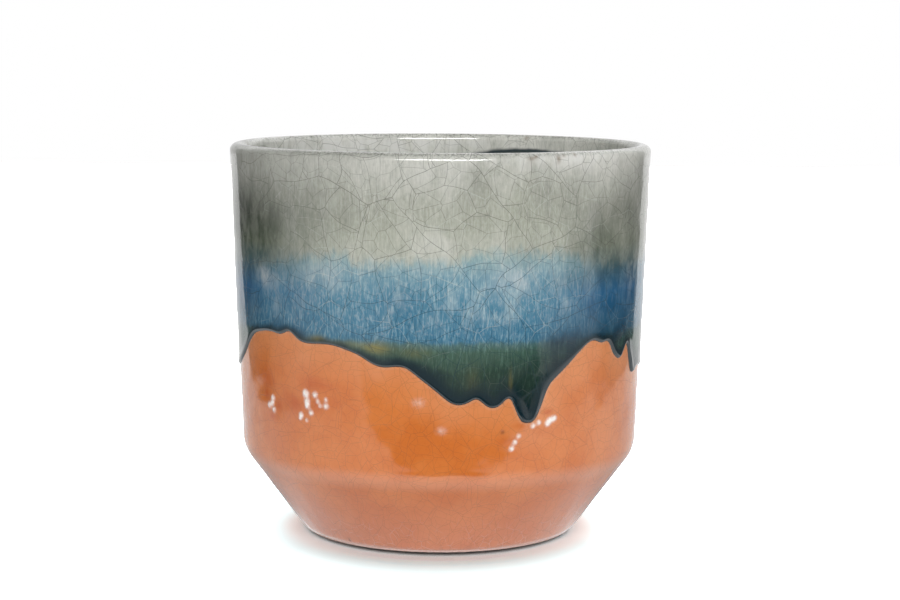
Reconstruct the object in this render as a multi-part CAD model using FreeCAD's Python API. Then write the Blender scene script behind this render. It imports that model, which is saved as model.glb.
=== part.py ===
import FreeCAD, Part
import math
import os

# A round cachepot of glazed earthenware, standing on three clear pads.
# Lengths are in millimetres and angles in degrees. +Z is up, the front is towards -Y,
# and the origin lies on the table under the middle of the pot.

# Outside of the glazed pot
height = 158.0
rim_diameter = 170.0
ridge_diameter = 160.2
ridge_height = 35.3
ridge_rounding = 13.0
base_diameter = 110.6

# Clay body
wall = 4.4
floor_thickness = 6.0
floor_rounding = 8.0
base_rounding = 1.4
foot_ring_width = 12.0
foot_recess = 1.2
foot_recess_rounding = 0.8
rim_rounding_share = 0.48

# Glaze coats: the orange coat and the liner go on first, and the upper coat over both
orange_coat = 0.4
upper_coat = 0.6
liner_coat = 0.3
inside_lap_coat = 0.3
bare_lip = 0.9
coat_edge_rounding = 0.12

# How far the first coats reach up under the upper coat, below the top of the rim
orange_top_depth = 58.0
liner_top_depth = 5.0

# Pads
pad_height = 1.6
pad_diameter = 10.0
pad_face_diameter = 8.0
pad_edge_rounding = 0.7
pad_inset = 5.6
pad_azimuths = {"left": -75.0, "right": 70.0, "back": 180.0}

# Lower edge of the upper coat outside. Each point is an azimuth, counted from the
# front towards +X, and a share of the height of the pot.
drip_edge_shares = [
    (-90.0, 0.427), (-82.0, 0.434), (-76.0, 0.452), (-68.0, 0.494), (-61.5, 0.538),
    (-58.0, 0.547), (-51.0, 0.552), (-47.0, 0.552), (-44.0, 0.560), (-41.0, 0.545),
    (-37.0, 0.537), (-30.0, 0.539), (-25.0, 0.530), (-21.0, 0.517), (-17.0, 0.498),
    (-13.0, 0.494), (-9.0, 0.494), (-5.5, 0.473), (0.0, 0.434), (3.5, 0.410),
    (6.0, 0.406), (8.5, 0.414), (10.2, 0.419), (12.5, 0.404), (14.7, 0.397),
    (17.0, 0.406), (19.4, 0.416), (20.8, 0.393), (22.2, 0.367), (24.4, 0.356),
    (26.8, 0.364), (28.6, 0.396), (30.2, 0.432), (32.8, 0.460), (38.0, 0.497),
    (42.0, 0.525), (46.5, 0.540), (50.0, 0.532), (53.2, 0.529), (55.2, 0.506),
    (57.4, 0.489), (60.2, 0.487), (62.2, 0.507), (63.8, 0.515), (65.4, 0.490),
    (67.0, 0.457), (69.4, 0.436), (73.0, 0.442), (82.0, 0.437), (95.0, 0.456),
    (105.0, 0.500), (114.0, 0.530), (122.0, 0.520), (130.0, 0.484), (137.0, 0.442),
    (142.0, 0.392), (146.5, 0.374), (151.0, 0.403), (157.0, 0.456), (166.0, 0.481),
    (174.0, 0.468), (181.0, 0.430), (186.5, 0.394), (191.0, 0.385), (195.5, 0.412),
    (203.0, 0.468), (212.0, 0.506), (222.0, 0.519), (230.0, 0.500), (236.0, 0.464),
    (241.0, 0.448), (247.0, 0.455), (254.0, 0.468), (262.0, 0.449),
]

# Lower edge of the upper coat inside, as azimuths and shares of the height
inside_edge_shares = [
    (0.0, 0.905), (35.0, 0.918), (70.0, 0.899), (100.0, 0.918), (125.0, 0.929),
    (142.0, 0.942), (155.0, 0.947), (165.0, 0.941), (180.0, 0.918), (205.0, 0.899),
    (240.0, 0.915), (275.0, 0.905), (320.0, 0.924), (345.0, 0.911),
]

# One overrun serves all cuts, and a wavy edge is cut in spans of a few points each
overrun = 2.0
points_per_span = 3
full_turn = 360.0

# Sizes that follow from the ones above
clay_top = height - upper_coat
clay_rim_radius = rim_diameter / 2 - orange_coat - upper_coat
clay_ridge_radius = ridge_diameter / 2 - orange_coat
clay_base_radius = base_diameter / 2 - orange_coat
outer_coat = orange_coat + upper_coat
inner_coat = liner_coat + inside_lap_coat
floor_top = pad_height + floor_thickness
orange_top = height - orange_top_depth
liner_top = height - liner_top_depth


def line_through(low, high):
    """A straight flank of the section, as a point on it and its lean."""
    lean = (high[0] - low[0]) / (high[1] - low[1])
    return (low[0], low[1], lean)


def moved_out(flank, distance):
    """The flank moved square to itself, away from the axis."""
    radius, level, lean = flank
    return (radius + distance * math.hypot(1, lean), level, lean)


def radius_at(flank, level):
    """Radius of a flank at one level."""
    return flank[0] + flank[2] * (level - flank[1])


def meeting(lower, upper):
    """The radius and level where two flanks meet."""
    level = (radius_at(lower, 0) - radius_at(upper, 0)) / (upper[2] - lower[2])
    return (radius_at(lower, level), level)


cone = line_through((clay_base_radius, pad_height), (clay_ridge_radius, ridge_height))
side = line_through((clay_ridge_radius, ridge_height), (clay_rim_radius, clay_top))


def on_side(level, distance):
    """A sharp corner on the wall, moved out from the clay by a distance."""
    return (radius_at(moved_out(side, distance), level), level, 0)


def on_cone(level, distance):
    """A sharp corner on the cone, moved out from the clay by a distance."""
    return (radius_at(moved_out(cone, distance), level), level, 0)


def ridge_corner(distance):
    """The corner between cone and wall, rounded about the same centre at every depth."""
    radius, level = meeting(moved_out(cone, distance), moved_out(side, distance))
    return (radius, level, ridge_rounding + distance)


def crown_corners(top, outside, inside):
    """The two rounded corners of the rim, with coats of these thicknesses on the clay."""
    rounding = rim_rounding_share * (wall + outside + inside)
    outer_radius = radius_at(moved_out(side, outside), top)
    inner_radius = radius_at(moved_out(side, -wall - inside), top)
    return [(outer_radius, top, rounding), (inner_radius, top, rounding)]


def floor_corner(coat):
    """The corner between floor and cone inside, under a coat of this thickness."""
    level = floor_top + coat
    return (radius_at(moved_out(cone, -wall - coat), level), level, floor_rounding - coat)


def section_point(radius, level):
    """A point of a section, drawn in the plane behind the axis."""
    return FreeCAD.Vector(0, radius, level)


def rounded_corner(before, corner, after):
    """Start, middle and end of the arc that rounds a corner."""
    point = section_point(corner[0], corner[1])
    to_before = (section_point(before[0], before[1]) - point).normalize()
    to_after = (section_point(after[0], after[1]) - point).normalize()
    half_angle = to_before.getAngle(to_after) / 2
    reach = corner[2] / math.tan(half_angle)
    towards_centre = (to_before + to_after).normalize()
    middle_reach = corner[2] / math.sin(half_angle) - corner[2]
    return (point + to_before * reach, point + towards_centre * middle_reach, point + to_after * reach)


def section_wire(corners):
    """A closed outline of straight runs, with an arc at each corner that has a rounding."""
    arcs = []
    for index, corner in enumerate(corners):
        before = corners[index - 1]
        after = corners[(index + 1) % len(corners)]
        if corner[2] > 0:
            arcs.append(rounded_corner(before, corner, after))
        else:
            point = section_point(corner[0], corner[1])
            arcs.append((point, None, point))
    edges = []
    for index, (start, middle, end) in enumerate(arcs):
        if middle is not None:
            edges.append(Part.Arc(start, middle, end).toShape())
        following = arcs[(index + 1) % len(arcs)][0]
        edges.append(Part.LineSegment(end, following).toShape())
    return Part.Wire(edges)


def turned(corners):
    """A solid turned about the axis of the pot."""
    section = Part.Face(section_wire(corners))
    return section.revolve(FreeCAD.Vector(), FreeCAD.Vector(0, 0, 1), full_turn)


def round_the_pot(azimuth, radius, level):
    """A point at an azimuth from the front, a distance from the axis and a level."""
    angle = math.radians(azimuth)
    return FreeCAD.Vector(radius * math.sin(angle), -radius * math.cos(angle), level)


def wavy_curve(shares, radius):
    """A closed smooth curve round the pot, which runs through the points at a steady turn."""
    points = [round_the_pot(azimuth, radius, share * height) for azimuth, share in shares]
    azimuths = [azimuth for azimuth, share in shares]
    curve = Part.BSplineCurve()
    curve.interpolate(points, PeriodicFlag=True, Parameters=azimuths + [azimuths[0] + full_turn])
    return curve


def span_azimuths(shares):
    """Azimuths that divide a wavy edge into spans, once round the pot."""
    azimuths = [azimuth for azimuth, share in shares]
    return azimuths[::points_per_span] + [azimuths[0] + full_turn]


def lowest_of(shares):
    """Level of the lowest point in the table of a wavy edge."""
    return min(share for azimuth, share in shares) * height


def highest_of(shares):
    """Level of the highest point in the table of a wavy edge."""
    return max(share for azimuth, share in shares) * height


def narrowest_wall():
    """Radius of the wall at its narrower end."""
    return min(rim_diameter, ridge_diameter) / 2


def widest_wall():
    """Radius of the wall at its wider end."""
    return max(rim_diameter, ridge_diameter) / 2


def below_wavy_edge(shares, inner_radius, outer_radius):
    """The band just below a wavy edge between two radii, deep enough to pass its lowest point."""
    inner_curve = wavy_curve(shares, inner_radius)
    outer_curve = wavy_curve(shares, outer_radius)
    depth = highest_of(shares) - lowest_of(shares) + 2 * overrun
    stops = span_azimuths(shares)
    spans = []
    for start, end in zip(stops, stops[1:]):
        brim = Part.makeRuledSurface(inner_curve.toShape(start, end), outer_curve.toShape(start, end))
        spans.append(brim.extrude(FreeCAD.Vector(0, 0, -depth)))
    return spans


def clay_body():
    """The fired clay, with a shallow recess under its floor inside the foot ring."""
    recess_top = pad_height + foot_recess
    recess_radius = clay_base_radius - foot_ring_width
    corners = [
        (0, recess_top, 0),
        (recess_radius, recess_top, foot_recess_rounding),
        (recess_radius + foot_recess, pad_height, foot_recess_rounding),
        (clay_base_radius, pad_height, base_rounding),
        ridge_corner(0),
        *crown_corners(clay_top, 0, 0),
        ridge_corner(-wall),
        floor_corner(0),
        (0, floor_top, 0),
    ]
    return turned(corners)


def orange_glaze():
    """The first coat outside, from just above the lip of the base up under the upper coat."""
    lip = pad_height + bare_lip
    edge = on_cone(lip, orange_coat)
    corners = [
        on_cone(lip, 0),
        (edge[0], edge[1], coat_edge_rounding),
        ridge_corner(orange_coat),
        on_side(orange_top, orange_coat),
        on_side(orange_top, 0),
        ridge_corner(0),
    ]
    return turned(corners)


def liner_glaze():
    """The coat inside, from the floor up to just under the rim."""
    corners = [
        (0, floor_top, 0),
        floor_corner(0),
        ridge_corner(-wall),
        on_side(liner_top, -wall),
        on_side(liner_top, -wall - liner_coat),
        ridge_corner(-wall - liner_coat),
        floor_corner(liner_coat),
        (0, floor_top + liner_coat, 0),
    ]
    return turned(corners)


def reactive_glaze():
    """The upper coat: over the rim, over both first coats, down to a wavy edge on each side."""
    lowest_outside = lowest_of(drip_edge_shares) - overrun
    lowest_inside = lowest_of(inside_edge_shares) - overrun
    outer_crown, inner_crown = crown_corners(height, outer_coat, inner_coat)
    outer_clay_crown, inner_clay_crown = crown_corners(clay_top, 0, 0)
    blank = turned([
        on_side(lowest_outside, orange_coat),
        on_side(lowest_outside, outer_coat),
        outer_crown,
        inner_crown,
        on_side(lowest_inside, -wall - inner_coat),
        on_side(lowest_inside, -wall - liner_coat),
        on_side(liner_top, -wall - liner_coat),
        on_side(liner_top, -wall),
        inner_clay_crown,
        outer_clay_crown,
        on_side(orange_top, 0),
        on_side(orange_top, orange_coat),
    ])
    outside_cut = below_wavy_edge(drip_edge_shares, narrowest_wall() / 2, widest_wall() + overrun)
    middle_of_wall = radius_at(moved_out(side, -wall / 2), lowest_inside)
    inside_cut = below_wavy_edge(inside_edge_shares, narrowest_wall() / 2, middle_of_wall)
    return blank.cut(outside_cut).cut(inside_cut)


def foot_pad(azimuth):
    """A clear round pad under the foot ring, a little narrower where it meets the table."""
    pad = turned([
        (0, 0, 0),
        (pad_face_diameter / 2, 0, pad_edge_rounding),
        (pad_diameter / 2, pad_height, 0),
        (0, pad_height, 0),
    ])
    pad.translate(round_the_pot(azimuth, clay_base_radius - pad_inset, 0))
    return pad


def all_pieces():
    """Every piece of the pot under its name."""
    pieces = {
        "clay_body": clay_body(),
        "orange_glaze": orange_glaze(),
        "reactive_glaze": reactive_glaze(),
        "liner_glaze": liner_glaze(),
    }
    for place, azimuth in pad_azimuths.items():
        pieces["foot_pad_" + place] = foot_pad(azimuth)
    return pieces


os.makedirs("parts", exist_ok=True)
for name, shape in all_pieces().items():
    shape.exportStep("parts/" + name + ".step")
    box = shape.BoundBox
    print(name, "valid", shape.isValid(), "solids", len(shape.Solids), "volume", round(shape.Volume, 1),
          "from", round(box.ZMin, 3), "to", round(box.ZMax, 3))
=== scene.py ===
"""A glazed earthenware cachepot, dressed over its construction model.

The pot is a clay shell with an orange crackle coat below, a grey, blue and green coat above that ran
down in drips, a pale liner inside and three clear pads under the foot. Lengths are in metres, +Z is
up and the front is towards -Y.
"""

import logging
import math
from dataclasses import dataclass, field
from enum import Enum

import bpy
import numpy as np
from mathutils import Matrix, Vector


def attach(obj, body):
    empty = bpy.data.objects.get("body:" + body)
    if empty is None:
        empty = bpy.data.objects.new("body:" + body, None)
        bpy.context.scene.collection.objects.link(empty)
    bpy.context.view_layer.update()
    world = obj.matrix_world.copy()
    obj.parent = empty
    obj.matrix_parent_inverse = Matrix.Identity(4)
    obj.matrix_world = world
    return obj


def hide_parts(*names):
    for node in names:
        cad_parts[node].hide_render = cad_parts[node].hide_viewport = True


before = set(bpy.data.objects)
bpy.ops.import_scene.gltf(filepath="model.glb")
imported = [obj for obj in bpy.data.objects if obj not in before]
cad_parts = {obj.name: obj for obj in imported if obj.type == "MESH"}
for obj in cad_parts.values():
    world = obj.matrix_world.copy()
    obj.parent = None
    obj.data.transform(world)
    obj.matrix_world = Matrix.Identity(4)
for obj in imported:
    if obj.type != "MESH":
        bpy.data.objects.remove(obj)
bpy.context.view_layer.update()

LOG = logging.getLogger("cachepot")
MM = 0.001
DEGREES = 180 / math.pi
GIRTH = 82 * MM

Colour = tuple[float, float, float, float]
Table = tuple[tuple[float, float], ...]
Patches = tuple[tuple[float, float, float, float, float], ...]
Bumps = tuple[tuple[float, float, float, float], ...]
Stops = tuple[tuple[float, str], ...]
Span = tuple[float, float]
Band = tuple[float, float, float]
Rows = tuple[np.ndarray, np.ndarray]
Settings = dict[str, str | bool | int]


class Node(Enum):
    """Names of the construction model's pieces."""

    CLAY = "clay_body"
    ORANGE = "orange_glaze"
    UPPER = "reactive_glaze"
    LINER = "liner_glaze"
    PAD_LEFT = "foot_pad_left"
    PAD_RIGHT = "foot_pad_right"
    PAD_BACK = "foot_pad_back"


def srgb(code: str) -> Colour:
    """Turn a six-digit display colour into a linear colour.

    Args:
        code: Six hexadecimal digits after a hash.

    Returns:
        Linear red, green and blue, with an alpha of one.
    """
    values = [int(code[i:i + 2], 16) / 255 for i in (1, 3, 5)]
    linear = [v / 12.92 if v <= 0.04045 else ((v + 0.055) / 1.055) ** 2.4 for v in values]
    return (linear[0], linear[1], linear[2], 1.0)


def smooth_step(value: np.ndarray, low: float, high: float) -> np.ndarray:
    """Rise from nought to one between two values, with level ends, as 3t^2 - 2t^3."""
    t = np.clip((value - low) / (high - low), 0, 1)
    return t * t * (3 - 2 * t)


def patches(places: Patches, azimuths: np.ndarray, levels: np.ndarray) -> np.ndarray:
    """Add up soft oval patches round the pot.

    Each patch is strength exp(-(a/width)^2 - (z/tall)^2), where a and z are measured from its middle.

    Args:
        places: Azimuth and level of each middle, width, height and strength, in degrees and millimetres.
        azimuths: Angles round the pot in radians.
        levels: Heights above the table.

    Returns:
        The sum at each point, no more than one.
    """
    total = np.zeros(np.broadcast(azimuths, levels).shape)
    for azimuth, level, width, tall, strength in places:
        turn = (np.degrees(azimuths) - azimuth + 180) % 360 - 180
        climb = (levels - level * MM) / (tall * MM)
        total = total + strength * np.exp(-(turn / width) ** 2 - climb ** 2)
    return np.clip(total, 0, 1)


@dataclass(frozen=True)
class Ripples:
    """A gentle unevenness round the pot: a sum of waves that close after one turn."""

    seed: int
    height: float
    shortest: float
    longest: float
    count: int = 40

    def at(self, azimuths: np.ndarray, levels: np.ndarray) -> np.ndarray:
        """Height of the unevenness.

        The formula is the sum of cos(n a + k z + phase) over the waves, with whole n, scaled so that
        its spread is the field height.

        Args:
            azimuths: Angles round the pot in radians.
            levels: Heights above the table.

        Returns:
            One height for each pair of an azimuth and a level.
        """
        draw = np.random.default_rng(self.seed)
        lengths = np.exp(draw.uniform(math.log(self.shortest), math.log(self.longest), self.count))
        headings = draw.uniform(0, 2 * math.pi, self.count)
        phases = draw.uniform(0, 2 * math.pi, self.count)
        whole = np.round(2 * math.pi * GIRTH / lengths * np.cos(headings))
        climb = 2 * math.pi / lengths * np.sin(headings)
        total = np.zeros(np.broadcast(azimuths, levels).shape)
        for n, k, phase in zip(whole, climb, phases):
            total += np.cos(n * azimuths + k * levels + phase)
        return self.height * total / math.sqrt(self.count / 2)


@dataclass(frozen=True)
class WavyEdge:
    """An edge that wanders up and down round the pot, through points given as azimuth and level."""

    table: Table
    height: float

    def levels(self, azimuths: np.ndarray) -> np.ndarray:
        """Level of the edge at each azimuth.

        The curve is the closed cubic spline through the table's points. Its slopes solve the ring of
        equations that makes the bend the same on both sides of every point.

        Args:
            azimuths: Angles round the pot in radians.

        Returns:
            Levels above the table, one for each azimuth.
        """
        turn = 360.0
        x = np.array([point[0] for point in self.table])
        y = np.array([point[1] for point in self.table]) * self.height
        gap = np.append(x[1:], x[0] + turn) - x
        rise = np.roll(y, -1) - y
        before = np.roll(gap, 1)
        count = len(x)
        ring = np.zeros((count, count))
        index = np.arange(count)
        ring[index, index] = 2 * (1 / gap + 1 / before)
        ring[index, (index + 1) % count] = 1 / gap
        ring[index, index - 1] = 1 / before
        slopes = np.linalg.solve(ring, 3 * (rise / gap ** 2 + np.roll(rise / gap ** 2, 1)))
        angle = (np.degrees(azimuths) - x[0]) % turn + x[0]
        i = np.clip(np.searchsorted(x, angle, side="right") - 1, 0, count - 1)
        j = (i + 1) % count
        t = (angle - x[i]) / gap[i]
        return (y[i] * (1 + 2 * t) * (1 - t) ** 2 + slopes[i] * gap[i] * t * (1 - t) ** 2
                + y[j] * t * t * (3 - 2 * t) + slopes[j] * gap[i] * t * t * (t - 1))

    def distance(self, levels: np.ndarray, azimuths: np.ndarray, girth: float, reach: float) -> np.ndarray:
        """Distance over the wall from grid points to the nearest stretch of the edge.

        The wall is unrolled. For each shift up to the reach, the edge between two columns is a straight
        stretch, and the distance is the least one over all of them.

        Args:
            levels: Grid of levels, one row after another, with a column for each azimuth.
            azimuths: Evenly spaced angles of the columns in radians.
            girth: Radius at which the wall is unrolled.
            reach: Distance past which the exact figure doesn't matter.

        Returns:
            A grid of distances, no more than the reach.
        """
        step = girth * (azimuths[1] - azimuths[0])
        edge = self.levels(azimuths)
        nearest = np.full(levels.shape, reach)
        shifts = int(math.ceil(reach / step))
        for shift in range(-shifts, shifts):
            here = np.roll(edge, -shift)
            there = np.roll(edge, -shift - 1)
            run = np.hypot(step, there - here)
            along = (-shift * step * step + (levels - here) * (there - here)) / run ** 2
            along = np.clip(along, 0, 1)
            across = np.hypot(shift * step + along * step, levels - here - along * (there - here))
            nearest = np.minimum(nearest, across)
        return nearest


@dataclass(frozen=True)
class PotSection:
    """The pot's section: a cone below, a ridge, a wall above and a rounded rim.

    Radii of the cone and wall are those of the bare clay. Coats are added square to it.
    """

    height: float = 158.0 * MM
    rim_radius: float = 84.0 * MM
    ridge_radius: float = 79.7 * MM
    ridge_height: float = 35.3 * MM
    ridge_rounding: float = 13.0 * MM
    base_radius: float = 54.9 * MM
    base_height: float = 1.6 * MM
    clay_top: float = 157.4 * MM
    wall: float = 4.4 * MM
    floor_top: float = 7.6 * MM
    floor_rounding: float = 8.0 * MM
    orange_coat: float = 0.4 * MM
    upper_coat: float = 0.6 * MM
    liner_coat: float = 0.3 * MM
    inside_lap: float = 0.3 * MM
    lip_level: float = 2.5 * MM

    @property
    def side_lean(self) -> float:
        """How much the wall widens for each metre of height."""
        return (self.rim_radius - self.ridge_radius) / (self.clay_top - self.ridge_height)

    @property
    def cone_lean(self) -> float:
        """How much the cone widens for each metre of height."""
        return (self.ridge_radius - self.base_radius) / (self.ridge_height - self.base_height)

    def side_radius(self, levels: float | np.ndarray, out: float | np.ndarray = 0.0) -> float | np.ndarray:
        """Radius of the straight wall, moved square to itself by a distance."""
        return (self.ridge_radius + self.side_lean * (levels - self.ridge_height)
                + out * math.hypot(1, self.side_lean))

    def cone_radius(self, levels: float | np.ndarray, out: float | np.ndarray = 0.0) -> float | np.ndarray:
        """Radius of the straight cone, moved square to itself by a distance."""
        return (self.base_radius + self.cone_lean * (levels - self.base_height)
                + out * math.hypot(1, self.cone_lean))

    def ridge(self, out: float) -> tuple[float, float]:
        """Sharp corner between the cone and the wall.

        Args:
            out: Distance by which both faces are moved square to themselves.

        Returns:
            Radius and level of the corner.
        """
        gap = self.side_radius(0.0, out) - self.cone_radius(0.0, out)
        level = gap / (self.cone_lean - self.side_lean)
        return self.side_radius(level, out), level


def rounded_path(corners: list[Band], spacing: tuple[float, ...]) -> np.ndarray:
    """Points along a path of straight runs whose corners are rounded by arcs.

    Each arc touches both its runs. It is walked by angle, and each run by length, at the spacing given.

    Args:
        corners: Radius, level and rounding of each corner; the two ends have no rounding.
        spacing: Distance between points on the run and arc that follow each corner.

    Returns:
        An array of points, each a radius and a level.
    """
    flat = np.array([corner[:2] for corner in corners])
    pieces: list[np.ndarray] = []
    start = flat[0]
    for index in range(1, len(corners)):
        rounding = corners[index][2]
        rounded = index < len(corners) - 1 and rounding > 0
        to_before = flat[index - 1] - flat[index]
        to_before = to_before / np.linalg.norm(to_before)
        end = flat[index]
        if rounded:
            to_after = flat[index + 1] - flat[index]
            to_after = to_after / np.linalg.norm(to_after)
            half = math.acos(float(np.clip(to_before @ to_after, -1, 1))) / 2
            end = flat[index] + to_before * rounding / math.tan(half)
        steps = max(1, int(round(np.linalg.norm(end - start) / spacing[index - 1])))
        shares = np.linspace(0, 1, steps, endpoint=False)[:, None]
        pieces.append(start * (1 - shares) + end * shares)
        start = end
        if rounded:
            towards = (to_before + to_after) / np.linalg.norm(to_before + to_after)
            centre = flat[index] + towards * rounding / math.sin(half)
            finish = flat[index] + to_after * rounding / math.tan(half)
            first = math.atan2(end[1] - centre[1], end[0] - centre[0])
            sweep = math.atan2(finish[1] - centre[1], finish[0] - centre[0]) - first
            sweep = (sweep + math.pi) % (2 * math.pi) - math.pi
            steps = max(2, int(round(abs(sweep) * rounding / spacing[index])))
            angles = first + sweep * np.linspace(0, 1, steps, endpoint=False)
            pieces.append(centre + rounding * np.stack([np.cos(angles), np.sin(angles)], axis=1))
            start = finish
    pieces.append(start[None, :])
    return np.concatenate(pieces)


def outward(path: np.ndarray) -> np.ndarray:
    """Directions square to a path, on its right hand going along it.

    Args:
        path: Points, each a radius and a level.

    Returns:
        One direction of unit length for each point.
    """
    along = np.gradient(path, axis=0)
    along = along / np.linalg.norm(along, axis=1)[:, None]
    return np.stack([along[:, 1], -along[:, 0]], axis=1)


def grid(path: np.ndarray, columns: int) -> Rows:
    """Radii and levels of a path's points, the same in every column."""
    return path[:, 0:1] + np.zeros((1, columns)), path[:, 1:2] + np.zeros((1, columns))


def even_turn(columns: int) -> np.ndarray:
    """Azimuths of evenly spaced columns once round the pot, in radians, starting at the back."""
    return np.linspace(-math.pi, math.pi, columns, endpoint=False)


def new_object(data: bpy.types.Mesh | bpy.types.Camera) -> bpy.types.Object:
    """Make an object of the same name for a mesh or a camera.

    Args:
        data: The mesh or the camera.

    Returns:
        The object, linked to the scene.
    """
    made = bpy.data.objects.new(data.name, data)
    bpy.context.scene.collection.objects.link(made)
    return made


def ring_object(name: str, rows: list[Rows], azimuths: np.ndarray,
                marks: dict[str, np.ndarray]) -> bpy.types.Object:
    """Make a closed ring from grids of radii and levels.

    A point at azimuth a lies at (r sin a, -r cos a, z). Rows and columns both join up again, so the
    ring has no open edge.

    Args:
        name: Name of the object.
        rows: Grids of radii and of levels, one pair for each stretch of the section going round it, with
            a row for each point of the section and a column for each azimuth.
        azimuths: Angles of the columns in radians.
        marks: Grids that are kept on the points under their names, for the materials to read.

    Returns:
        The new object, linked to the scene, with faces that point outwards.
    """
    radii = np.concatenate([stretch[0] for stretch in rows])
    levels = np.concatenate([stretch[1] for stretch in rows])
    points = np.stack([radii * np.sin(azimuths), -radii * np.cos(azimuths), levels], axis=2).reshape(-1, 3)
    count, columns = radii.shape
    row = np.arange(count)[:, None] * columns
    column = np.arange(columns)[None, :]
    next_row = (row + columns) % (count * columns)
    next_column = (column + 1) % columns
    faces = np.stack([row + column, row + next_column, next_row + next_column, next_row + column], axis=2)
    mesh = bpy.data.meshes.new(name)
    mesh.from_pydata(points.tolist(), [], faces.reshape(-1, 4).tolist())
    mesh.polygons.foreach_set("use_smooth", np.ones(len(mesh.polygons), dtype=bool))
    for mark, values in marks.items():
        layer = mesh.attributes.new(mark, "FLOAT", "POINT")
        layer.data.foreach_set("value", np.ascontiguousarray(values, dtype=np.float32).ravel())
    mesh.update()
    return new_object(mesh)


class Wire:
    """One output of a node, which can be reckoned with like a number."""

    def __init__(self, graph: "Graph", socket: bpy.types.NodeSocket) -> None:
        """Keep the graph and the socket."""
        self.graph = graph
        self.socket = socket

    def __add__(self, other: "Term") -> "Wire":
        """Add a value."""
        return self.graph.math("ADD", self, other)

    def __sub__(self, other: "Term") -> "Wire":
        """Take a value away."""
        return self.graph.math("SUBTRACT", self, other)

    def __rsub__(self, other: float) -> "Wire":
        """Take this away from a number."""
        return self.graph.math("SUBTRACT", other, self)

    def __mul__(self, other: "Term") -> "Wire":
        """Multiply by a value."""
        return self.graph.math("MULTIPLY", self, other)

    def __truediv__(self, other: "Term") -> "Wire":
        """Divide by a value."""
        return self.graph.math("DIVIDE", self, other)

    def __abs__(self) -> "Wire":
        """Drop the sign."""
        return self.graph.math("ABSOLUTE", self)

    def rise(self, low: float, high: float) -> "Wire":
        """Go smoothly from nought at one value to one at another, which may be the smaller."""
        return self.graph.take("ShaderNodeMapRange", "Result", {"interpolation_type": "SMOOTHSTEP"},
                               Value=self, From_Min=min(low, high), From_Max=max(low, high),
                               To_Min=float(low > high), To_Max=float(low < high))

    def hump(self, low: float, high: float, soft: float) -> "Wire":
        """One between two values and nought outside them, with soft flanks."""
        return self.rise(low - soft, low + soft) * self.rise(high + soft, high - soft)


Term = Wire | float
Paint = Wire | str | Colour


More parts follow.
